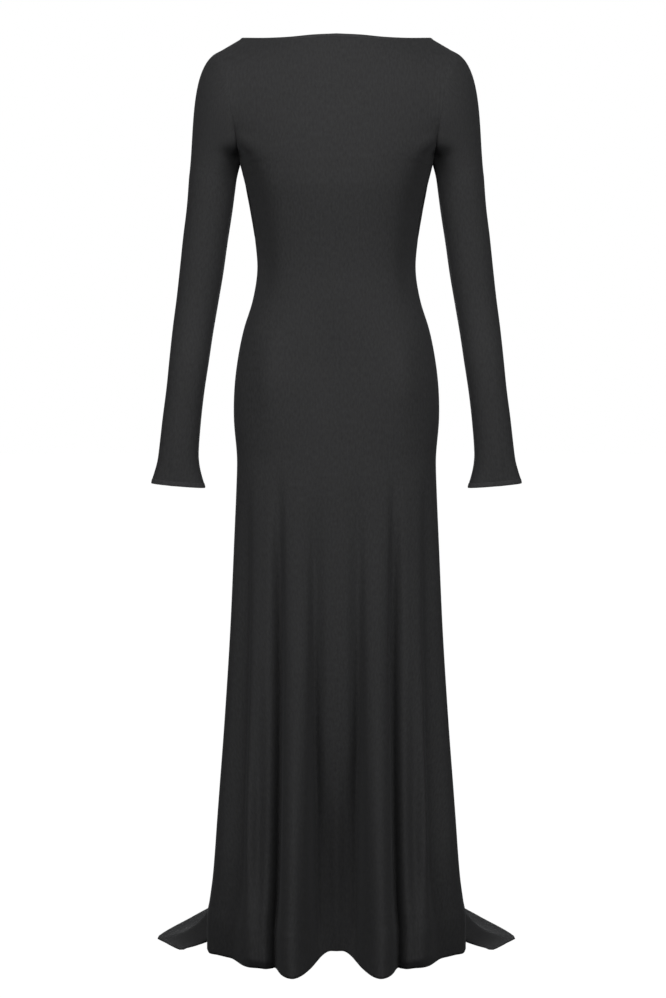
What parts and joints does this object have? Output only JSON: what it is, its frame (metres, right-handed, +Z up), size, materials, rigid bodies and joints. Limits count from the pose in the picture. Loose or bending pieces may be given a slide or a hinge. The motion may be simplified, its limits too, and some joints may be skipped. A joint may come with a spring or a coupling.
{
  "type": "maxi dress",
  "caption": "Floor-length black jersey dress with a wide boat neck, long close sleeves flared at the wrist, a fitted body and a fluted skirt with a short train.",
  "frame": {"origin": "midway between the two neck points, where the neck opening meets the shoulder seams and the wearer's shoulders carry the dress", "axes": "+X across the dress to the viewer's right as seen from the front, -Y out of the front of the dress, +Z up; the hem's lowest points are 1.453 m below the origin"},
  "size_m": [0.589, 0.5955, 1.4534],
  "materials": {
    "jersey": "matte knitted jersey",
    "trim": "folded jersey band"
  },
  "bodies": {
    "root": {"front": "jersey", "back": "jersey", "sleeve_left": "jersey", "sleeve_right": "jersey", "neck_binding": "trim", "cuff_band_left": "trim", "cuff_band_right": "trim"}
  },
  "joints": []
}
